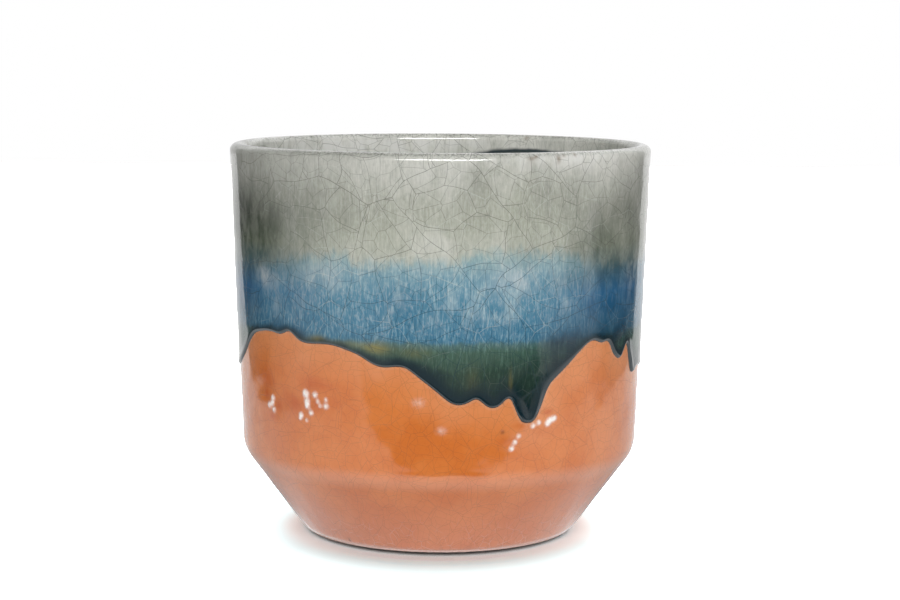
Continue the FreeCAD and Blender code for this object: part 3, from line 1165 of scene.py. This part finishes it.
    # Pale frosted patches; those on the front and right of the rim are painted light.
    frost_and_painted_light_places: Patches = (
        (-130, 157.6, 36, 2.4, 0.8), (44, 155, 14, 6, 0.4), (32, 157, 12, 4, 0.4), (2, 149, 14, 7, 0.2),
        (18, 156, 10, 5, 0.2), (0, 124, 6, 5, 0.3), (11, 152, 5, 5, 0.35), (-53, 109, 4, 4, 0.45),
        (-31, 112, 7, 5, 0.22), (21, 111, 7, 6, 0.35), (66, 110, 5, 10, 0.2), (120, 112, 8, 5, 0.3),
        (175, 110, 9, 6, 0.3), (-150, 112, 7, 5, 0.3), (-110, 108, 6, 6, 0.25),
    )
    # Painted light on the inside of the back wall, strongest on its left.
    inside_painted_light_places: Patches = ((214, 153, 40, 12, 0.85), (176, 156, 20, 5, 0.3))
    # Places where the dark band along the inside edge is drawn wider.
    inside_dark_places: Patches = ((147, 149.8, 17, 2.8, 1.0), (275, 146, 12, 3, 0.6))
    broad_places: Patches = ((30, 66, 5, 13, 1.0), (36, 78, 4, 8, 0.6), (150, 60, 5, 10, 0.8))
    speck_places: Patches = (
        (23.6, 156, 1.1, 0.9, 0.7), (25, 156.6, 0.5, 0.5, 0.8), (31.4, 155.8, 0.7, 1.3, 0.8),
        (33.2, 156.8, 0.5, 0.6, 0.6), (36.8, 157, 0.4, 0.7, 0.7), (-96, 156.4, 0.9, 0.8, 0.6),
        (152, 156.6, 0.8, 0.9, 0.6),
    )

    def thickness(self, gap: np.ndarray, tip: np.ndarray, broad: np.ndarray) -> np.ndarray:
        """Thickness of the coat by the distance from its edge.

        It rises as T (1 - exp(-d/s)) from the edge, with a bell-shaped bead behind the edge that is
        taller at the tips of the drips.

        Args:
            gap: Distances from the edge.
            tip: How much each point belongs to the tip of a drip, from nought to one.
            broad: How much broader the slope of the bead is, from nought to one.

        Returns:
            Thickness at each point.
        """
        rise = self.section.upper_coat * (1 - np.exp(-gap / self.slope))
        peak = (self.bead_middle + self.bead_broader * broad) * MM
        bead = (self.bead + self.tip_bead * tip) * np.exp(-((gap - peak) / self.bead_width) ** 2)
        return rise + bead * smooth_step(gap / peak, 0, 0.9)

    def crown(self) -> np.ndarray:
        """Section of the rim.

        Returns:
            Points over it from the outer to the inner side, each a radius and a level: two quarters of
            ovals that meet at the top.
        """
        level = self.section.height - self.crown_height
        outer = self.section.side_radius(level, self.section.orange_coat + self.section.upper_coat)
        inner = self.section.side_radius(level, -self.section.wall - self.section.liner_coat
                                         - self.section.inside_lap)
        middle = outer - self.crown_outer
        quarters = []
        for first, across in ((0.0, self.crown_outer), (math.pi / 2, middle - inner)):
            angles = np.linspace(first, first + math.pi / 2, self.crown_rows // 2, endpoint=False)
            quarters.append(np.stack([middle + across * np.cos(angles),
                                      level + self.crown_height * np.sin(angles)], axis=1))
        return np.concatenate(quarters)

    def outside(self, edge: np.ndarray, start: float, azimuths: np.ndarray) -> tuple[Rows, np.ndarray]:
        """Outer face, from the dripping edge up to the rim.

        Args:
            edge: Level of the edge at each azimuth.
            start: Level at which the rim starts.
            azimuths: Angles of the columns in radians.

        Returns:
            The rows, and their distances from the edge.
        """
        turns = azimuths[None, :]
        near = np.array(self.near_rows)[:, None] * MM + edge[None, :]
        shares = np.linspace(0, 1, self.far_rows + 1)[1:-1, None]
        levels = np.concatenate([near, near[-1:] * (1 - shares) + start * shares])
        gap = self.edge.distance(levels, azimuths, self.section.ridge_radius, self.reach)
        tip = smooth_step(self.smoothed(edge) - edge, *self.tip_from)[None, :] + np.zeros_like(levels)
        swell = self.ripples.at(turns, levels) * smooth_step(gap, 0, self.calm_edge)
        swell = swell * smooth_step(start - levels, 0, self.calm_rim)
        broad = patches(self.broad_places, turns, levels)
        out = self.section.orange_coat - self.sunk + self.thickness(gap, tip, broad) + swell
        return (self.section.side_radius(levels, out), levels), gap

    def inside(self, edge: np.ndarray, start: float) -> Rows:
        """Inner face, from the rim down to the wavy edge inside.

        Args:
            edge: Level of the edge at each azimuth.
            start: Level at which the rim ends.

        Returns:
            The rows, with a small bead behind the edge.
        """
        down = np.linspace(0, 1, self.inside_rows)[:, None] ** self.inside_steps
        levels = start * (1 - down) + edge * down
        gap = levels - edge
        lap = self.section.inside_lap * (1 - np.exp(-gap / self.inside_slope))
        bead = self.inside_bead * np.exp(-((gap - self.inside_bead_at) / self.inside_bead_width) ** 2)
        bead = bead * smooth_step(gap, 0, self.inside_bead_from)
        lap = lap + bead * smooth_step(start - levels, 0, self.inside_bead_to)
        out = -self.section.wall - self.section.liner_coat - lap + self.sunk_inside
        return self.section.side_radius(levels, out), levels

    def hidden(self, edge: np.ndarray, inner_edge: np.ndarray, start: float) -> list[Rows]:
        """Faces inside the clay, which close the ring.

        Args:
            edge: Level of the outer edge at each azimuth.
            inner_edge: Level of the inner edge at each azimuth.
            start: Level at which the rim starts.

        Returns:
            Rows up from the inner edge, over the clay's top and down to the outer edge.
        """
        section = self.section
        under = np.linspace(0, 1, self.hidden_rows)[:, None]
        top = start - self.rim_cover
        up = inner_edge * (1 - under) + top * under
        over = np.full((1, self.columns), section.clay_top - self.top_cover)
        down = top * (1 - under) + edge * under
        return [(section.side_radius(up, -section.wall + self.inside_cover), up),
                (section.side_radius(over, -section.wall / 2), over),
                (section.side_radius(down, -self.side_cover), down)]

    def build(self) -> bpy.types.Object:
        """Build the coat as a closed ring.

        Returns:
            The piece. Its points keep the distance from the edge, the depth of colour with its painted
            shade, the height over the border between blue and grey, and the olive, frosted and speckled
            places, where the frost is partly painted light.
        """
        azimuths = even_turn(self.columns)
        turns = azimuths[None, :]
        edge = self.edge.levels(azimuths)
        inner_edge = self.inside_edge.levels(azimuths)
        crown = self.crown()
        start = crown[0, 1]
        outside, gap = self.outside(edge, start, azimuths)
        inside = self.inside(inner_edge, start)
        over = grid(crown, self.columns)
        rows = [outside, over, inside, *self.hidden(edge, inner_edge, start)]
        levels = np.concatenate([stretch[1] for stretch in rows])
        gaps = np.full(levels.shape, self.reach)
        gaps[:len(gap)] = gap
        first = len(gap) + len(crown)
        # Draw the inside edge's dark band wider at the listed places.
        widened_by = self.inside_widening * patches(self.inside_dark_places, turns, inside[1])
        inner_gaps = self.inside_scale * (inside[1] - inner_edge) - widened_by
        gaps[first:first + self.inside_rows] = np.clip(inner_gaps, 0, self.reach)
        frost_and_painted_light = patches(self.frost_and_painted_light_places, turns, levels)
        frost_and_painted_light[first:] = patches(self.inside_painted_light_places, turns, levels[first:])
        border = WavyEdge(self.border_table, self.section.height).levels(azimuths)
        marks = {"edge_gap": gaps, "frost_and_painted_light": frost_and_painted_light, "over_border": levels - border}
        for name, places in {"shade": self.deep_and_shaded_places, "olive": self.olive_places,
                             "specks": self.speck_places}.items():
            marks[name] = patches(places, turns, levels)
        piece = ring_object("upper_coat", rows, azimuths, marks)
        piece.data.materials.append(self.finish.material())
        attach(piece, "root")
        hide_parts(Node.UPPER.value)
        return piece

    def smoothed(self, edge: np.ndarray) -> np.ndarray:
        """The edge's level averaged round the pot by a bell-shaped weight.

        Args:
            edge: Level of the edge at each azimuth.

        Returns:
            The averaged level at each azimuth.
        """
        step = 2 * math.pi * self.section.ridge_radius / self.columns
        offsets = np.arange(self.columns) - self.columns // 2
        weights = np.exp(-(offsets * step / self.tip_width) ** 2)
        weights = np.roll(weights / weights.sum(), -(self.columns // 2))
        return np.real(np.fft.ifft(np.fft.fft(edge) * np.fft.fft(weights)))


@dataclass
class Liner:
    """The pale coat inside, from the middle of the floor up to under the upper coat."""

    section: PotSection
    columns: int = 480
    top: float = 152.5 * MM
    sunk: float = 0.3 * MM
    axis_gap: float = 0.05 * MM
    spacing: Band = (4 * MM, 2.2 * MM, 3 * MM)
    finish: LinerGlaze = field(default_factory=LinerGlaze)

    def face(self, out: float, floor: float) -> np.ndarray:
        """Section of one face of the coat.

        Args:
            out: Distance of the face from the clay's outer faces, negative inwards.
            floor: Level of the face over the floor.

        Returns:
            Points from the axis out and up, each a radius and a level.
        """
        section = self.section
        return rounded_path([
            (self.axis_gap, floor, 0),
            (section.cone_radius(floor, out), floor, section.floor_rounding - section.liner_coat),
            (*section.ridge(out), section.ridge_rounding + out),
            (section.side_radius(self.top, out), self.top, 0),
        ], self.spacing)

    def build(self) -> bpy.types.Object:
        """Build the coat.

        Returns:
            The piece, a closed ring whose hole on the axis is a tenth of a millimetre wide.
        """
        section = self.section
        seen = self.face(-section.wall - section.liner_coat, section.floor_top + section.liner_coat)
        hidden = self.face(-section.wall + self.sunk, section.floor_top - self.sunk)
        path = np.concatenate([hidden, seen[::-1]])
        piece = ring_object("liner_coat", [grid(path, self.columns)], even_turn(self.columns), {})
        piece.data.materials.append(self.finish.material())
        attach(piece, "root")
        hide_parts(Node.LINER.value)
        return piece


@dataclass
class Cachepot:
    """The whole pot: clay and pads from the construction model, and its three coats.

    The edges of the upper coat are given as azimuths in degrees and shares of the height.
    """

    section: PotSection = field(default_factory=PotSection)
    drip_table: Table = (
        (-90, 0.427), (-82, 0.434), (-76, 0.452), (-68, 0.494), (-61.5, 0.538), (-58, 0.547), (-51, 0.552),
        (-47, 0.552), (-44, 0.560), (-41, 0.545), (-37, 0.537), (-30, 0.539), (-25, 0.530), (-21, 0.517),
        (-17, 0.498), (-13, 0.494), (-9, 0.494), (-5.5, 0.473), (0, 0.434), (3.5, 0.410), (6, 0.406),
        (8.5, 0.414), (10.2, 0.419), (12.5, 0.404), (14.7, 0.397), (17, 0.406), (19.4, 0.416),
        (20.8, 0.393), (22.2, 0.367), (24.4, 0.356), (26.8, 0.364), (28.6, 0.396), (30.2, 0.432),
        (32.8, 0.460), (38, 0.497), (42, 0.525), (46.5, 0.540), (50, 0.532), (53.2, 0.529), (55.2, 0.506),
        (57.4, 0.489), (60.2, 0.487), (62.2, 0.507), (63.8, 0.515), (65.4, 0.490), (67, 0.457),
        (69.4, 0.436), (73, 0.442), (82, 0.437), (95, 0.456), (105, 0.500), (114, 0.530), (122, 0.520),
        (130, 0.484), (137, 0.442), (142, 0.392), (146.5, 0.374), (151, 0.403), (157, 0.456),
        (166, 0.481), (174, 0.468), (181, 0.430), (186.5, 0.394), (191, 0.385), (195.5, 0.412),
        (203, 0.468), (212, 0.506), (222, 0.519), (230, 0.500), (236, 0.464), (241, 0.448), (247, 0.455),
        (254, 0.468), (262, 0.449),
    )
    inside_table: Table = (
        (0, 0.905), (35, 0.918), (70, 0.899), (100, 0.918), (125, 0.929), (142, 0.942), (155, 0.947),
        (165, 0.941), (180, 0.918), (205, 0.899), (240, 0.915), (275, 0.905), (320, 0.924), (345, 0.911),
    )

    def build(self) -> None:
        """Build the coats and dress the clay and the pads."""
        edge = WavyEdge(self.drip_table, self.section.height)
        inside_edge = WavyEdge(self.inside_table, self.section.height)
        for coat in (OrangeCoat(self.section, edge), UpperCoat(self.section, edge, inside_edge),
                     Liner(self.section)):
            piece = coat.build()
            LOG.info("%s: %d faces", piece.name, len(piece.data.polygons))
        self.dress(Node.CLAY, BareClay().material())
        pad = ClearPad().material()
        for node in (Node.PAD_LEFT, Node.PAD_RIGHT, Node.PAD_BACK):
            self.dress(node, pad)

    def dress(self, node: Node, material: bpy.types.Material) -> None:
        """Give a construction piece a better material.

        Args:
            node: The piece.
            material: The material for all its slots.
        """
        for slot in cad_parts[node.value].material_slots:
            slot.material = material
        LOG.info("%s: dressed with %s", node.value, material.name)


class Spot:
    """A place on the floor, or a direction in the sky, as the studio's shaders read it."""

    def __init__(self, graph: Graph, place: Wire) -> None:
        """Work out its parts, its distance from the axis and its bearing from the front in degrees.

        Args:
            graph: Node graph of the floor or the sky.
            place: Position or direction.
        """
        self.graph = graph
        self.place = place
        self.x, y, self.z = graph.parts(place)
        self.front = y * -1.0
        self.reach = graph.take("ShaderNodeVectorMath", "Value", {"operation": "LENGTH"}, Vector=place)
        self.lead = self.front / self.reach
        self.bearing = graph.math("ARCTAN2", self.x, self.front) * DEGREES
        self.away = abs(self.bearing)


@dataclass(frozen=True)
class Surround:
    """The studio round the pot, by bearing from the front in degrees.

    A dim gap opens at the front, wider to the right. Bright cards follow on both sides, then dark
    corners, and a white backdrop stands at the back. Spans are where a soft change starts and ends.
    """

    halves: Span = (-0.01, 0.01)
    front: float = 0.45
    cards: float = 0.8
    cards_near: float = 0.4
    gap: Span = (21, 33)
    gap_right: float = 24.0
    cards_end: float = 93.0
    cards_soft: float = 18.0
    cards_firmer: float = 10.0
    corners: float = 0.14
    corners_right: float = 0.3
    corners_from: Span = (86, 100)
    backdrop_left: float = 0.85
    backdrop_right: float = 0.95
    backdrop_from: Span = (98, 102)
    backdrop_spread: float = 0.633
    soft: float = 0.015

    def brightness(self, spot: Spot, near: Term, half_width: float) -> Wire:
        """Brightness of the studio.

        Args:
            spot: Place on the floor or direction in the sky.
            near: One close to the table and nought far off.
            half_width: Half width of the backdrop where it passes the pot.

        Returns:
            The brightness there.
        """
        right = spot.x.rise(*self.halves)
        past_gap = (spot.away - right * self.gap_right).rise(*self.gap)
        total = past_gap * (near * self.cards_near + (self.cards - self.front)) + self.front
        end = (self.cards_end - spot.away) / (self.cards_soft - right * self.cards_firmer)
        corners = right * near * self.corners_right + self.corners
        total = total * end.rise(-1, 1) + spot.away.rise(*self.corners_from) * corners
        past = abs(spot.x) + spot.front * self.backdrop_spread
        behind = past.rise(half_width + self.soft, half_width - self.soft)
        white = right * (self.backdrop_right - self.backdrop_left) + self.backdrop_left
        return total + behind * spot.away.rise(*self.backdrop_from) * white


@dataclass(frozen=True)
class Floor(Finish):
    """White floor. Lengths are distances from the pot's axis, and spans run from nought to full effect.

    To the camera it is brighter than it lights the pot. Mirrored in the glaze it is a white table with a
    dark opening in front of it, and beyond it the studio.
    """

    surround: Surround
    name: str = "white_floor"
    half: float = 2.5
    white: Colour = (0.74, 0.74, 0.74, 1.0)
    gain: float = 6.9
    gain_lean: float = 0.5
    shade_size: float = 0.6
    tint: Colour = (0.70, 0.955, 1.03, 1.0)
    tint_reach: Span = (0.14, 0.085)
    tint_foot: Span = (0.057, 0.068)
    tint_under: float = 0.25
    contact_shade: float = 0.18
    contact_reach: Span = (0.085, 0.058)
    gap_light: float = 0.3
    gap_reach: Span = (0.060, 0.052)
    table: float = 1.5
    table_reach: Span = (0.315, 0.285)
    table_right: float = 0.035
    table_back: float = 0.03
    back_from: Span = (0.0, -0.08)
    halves: Span = (-0.02, 0.02)
    table_under: float = 0.75
    under_reach: Span = (0.055, 0.13)
    table_behind: float = 0.68
    behind_lead: Span = (-0.45, 0.05)
    table_edge: float = 0.7
    edge_reach: Band = (0.10, 0.15, 0.02)
    edge_lead: Span = (0.3, 0.9)
    table_shaded: float = 0.4
    shaded_reach: Span = (0.2, 0.09)
    shaded_lead: Span = (0.35, -0.1)
    studio_near: Span = (0.56, 0.4)
    backdrop_half: float = 0.161
    opening_dark: float = 0.93
    opening_from: float = 0.123
    opening_near: Span = (0.0, 0.012)
    opening_far: Span = (0.27, 0.16)
    opening_aside: float = 0.008
    opening_half: float = 0.045
    opening_knee: float = 0.068
    opening_spread: float = 1.85
    shelf: float = 0.14
    shelf_reach: Span = (0.079, 0.101)
    wobble: float = 0.03
    wobble_size: float = 25 * MM
    soft: float = 12.5 * MM

    def build(self) -> bpy.types.Object:
        """Lay the floor.

        Returns:
            The floor, with its material.
        """
        half = self.half
        corners = [(-half, -half, 0), (half, -half, 0), (half, half, 0), (-half, half, 0)]
        mesh = bpy.data.meshes.new("floor")
        mesh.from_pydata(corners, [], [(0, 1, 2, 3)])
        mesh.materials.append(self.material())
        floor = new_object(mesh)
        return floor

    def surface(self, graph: Graph) -> Wire:
        """Wire the surface.

        Args:
            graph: Node graph of the material.

        Returns:
            A matt white, and for mirrored rays the light of the table and the studio.
        """
        spot = Spot(graph, graph.place())
        camera_ray = graph.take("ShaderNodeLightPath", "Is Camera Ray")
        lit = graph.take("ShaderNodeBsdfDiffuse", "BSDF",
                         Color=graph.blend(camera_ray, self.white, self.seen(spot)))
        bright = self.mirrored(spot) * (1.0 - self.opening(spot) * self.opening_dark)
        glow = graph.take("ShaderNodeEmission", "Emission", Strength=bright)
        both = graph.add("ShaderNodeMixShader", Fac=graph.take("ShaderNodeLightPath", "Is Glossy Ray"))
        return graph.fed(both, (lit, glow), first=1)

    def seen(self, spot: Spot) -> Wire:
        """Colour for the camera: white, with the pot's soft shade painted into it.

        Args:
            spot: Place on the floor.

        Returns:
            The colour.
        """
        graph, reach = spot.graph, spot.reach
        # Painted cool tint near the pot, which cancels the orange light that the pot throws on the floor.
        at_foot = reach.rise(*self.tint_foot) * (1 - self.tint_under) + self.tint_under
        tint = graph.blend(reach.rise(*self.tint_reach) * at_foot, (1.0, 1.0, 1.0, 1.0), self.tint)
        # Painted shade: the colour darkens with ambient occlusion and in a ring by the foot, and a little
        # painted light is added just under the foot.
        light = graph.take("ShaderNodeAmbientOcclusion", "AO", {"samples": 16}, Distance=self.shade_size)
        light = light * ((1.0 - spot.lead * self.gain_lean) * self.gain)
        light = light * (1.0 - reach.rise(*self.contact_reach) * self.contact_shade)
        light = light + reach.rise(*self.gap_reach) * self.gap_light
        return graph.blend(1.0, tint, light, "MULTIPLY")

    def mirrored(self, spot: Spot) -> Wire:
        """Brightness of the table and the studio in the glaze.

        Args:
            spot: Place on the floor.

        Returns:
            The brightness there, without the dark opening.
        """
        reach, lead = spot.reach, spot.lead
        before = spot.graph.math("MAXIMUM", spot.front, 0.0)
        extent = spot.graph.math("SQRT", before * before + spot.x * spot.x)
        extent = extent - spot.x.rise(*self.halves) * self.table_right
        extent = extent - spot.front.rise(*self.back_from) * self.table_back
        table = extent.rise(*self.table_reach)
        under = reach.rise(*self.under_reach) * (1 - self.table_under) + self.table_under
        behind = lead.rise(*self.behind_lead) * (1 - self.table_behind) + self.table_behind
        edge = reach.hump(*self.edge_reach) * lead.rise(*self.edge_lead)
        shaded = reach.rise(*self.shaded_reach) * lead.rise(*self.shaded_lead)
        level = (edge * self.table_edge + under * behind * self.table) * (1.0 - shaded * self.table_shaded)
        studio = self.surround.brightness(spot, reach.rise(*self.studio_near), self.backdrop_half)
        return table * level + (1.0 - table) * studio

    def opening(self, spot: Spot) -> Wire:
        """Dark opening beyond the table's front edge: narrow near the pot and wider further off.

        Args:
            spot: Place on the floor.

        Returns:
            One in the opening and nought outside it.
        """
        wobble = (spot.graph.noise(spot.place, self.wobble_size) - 0.5) * self.wobble
        out = spot.front + wobble - self.opening_from
        depth = out.rise(*self.opening_near) * out.rise(*self.opening_far)
        further = spot.graph.math("MAXIMUM", out - self.opening_knee, 0.0)
        shelf = spot.x.rise(*self.halves) * out.rise(*self.shelf_reach) * self.shelf
        half = further * self.opening_spread + self.opening_half + shelf
        past = abs(spot.x - self.opening_aside) + wobble - half
        return depth * past.rise(self.soft, -self.soft)


@dataclass(frozen=True)
class Sky:
    """Dim light from all round, one soft lamp low in front and a soft fill from behind.

    Bearings and climbs are in degrees. The lamp is brighter in the glaze than it lights the pot.
    """

    surround: Surround
    share: float = 0.55
    fade: Span = (45, 20)
    ceiling: float = 0.3
    lean: float = 0.35
    lamp: float = 12.3
    lamp_bearing: Band = (-23, 27, 3)
    lamp_climb: Band = (19.0, 30.0, 1.5)
    lamp_mirrored: float = 1.4
    fill: float = 0.6
    fill_bearing: Span = (110, 145)
    fill_climb: Band = (18, 48, 6)

    def build(self) -> bpy.types.World:
        """Light the scene.

        Returns:
            The world, which the camera sees as plain white.
        """
        world = bpy.data.worlds.new("studio")
        bpy.context.scene.world = world
        world.use_nodes = True
        graph = Graph(world.node_tree)
        spot = Spot(graph, graph.take("ShaderNodeTexCoord", "Generated"))
        climb = graph.math("ARCSINE", spot.z) * DEGREES
        low = self.surround.brightness(spot, 0.0, 0.0) * self.share
        level = (low * climb.rise(*self.fade) + self.ceiling) * (spot.x * self.lean + 1.0)
        fill = spot.away.rise(*self.fill_bearing) * climb.hump(*self.fill_climb) * self.fill
        lamp = spot.bearing.hump(*self.lamp_bearing) * climb.hump(*self.lamp_climb) * self.lamp
        glossy = graph.take("ShaderNodeLightPath", "Is Glossy Ray")
        total = level + fill + lamp * (glossy * self.lamp_mirrored + 1.0)
        seen = graph.take("ShaderNodeLightPath", "Is Camera Ray")
        light = graph.take("ShaderNodeBackground", "Background", Color=(1.0, 1.0, 1.0, 1.0),
                           Strength=total * (1.0 - seen) + seen)
        graph.add("ShaderNodeOutputWorld", Surface=light)
        return world


@dataclass(frozen=True)
class Viewpoint:
    """The place from which the pot was photographed."""

    place: tuple[float, float, float] = (4.15 * MM, -858.6 * MM, 199.6 * MM)
    pitch: float = math.radians(7.03)
    roll: float = math.radians(0.33)
    lens: float = 84.7
    sensor: float = 36.0

    def build(self) -> bpy.types.Object:
        """Set the camera.

        Returns:
            The camera.
        """
        data = bpy.data.cameras.new("camera")
        data.sensor_width = self.sensor
        data.lens = self.lens
        camera = new_object(data)
        level = Matrix.Rotation(math.pi / 2 - self.pitch, 4, "X")
        turned = Matrix.Rotation(self.roll, 4, "Z")
        camera.matrix_world = Matrix.Translation(Vector(self.place)) @ level @ turned
        bpy.context.scene.camera = camera
        return camera


def main() -> None:
    """Build the pot and its studio."""
    logging.basicConfig(level=logging.INFO, format="%(name)s %(message)s")
    bpy.context.scene.view_settings.view_transform = "Standard"
    Cachepot().build()
    surround = Surround()
    for part in (Floor(surround), Sky(surround), Viewpoint()):
        LOG.info("studio: %s", part.build().name)


if __name__ == "__main__":
    main()
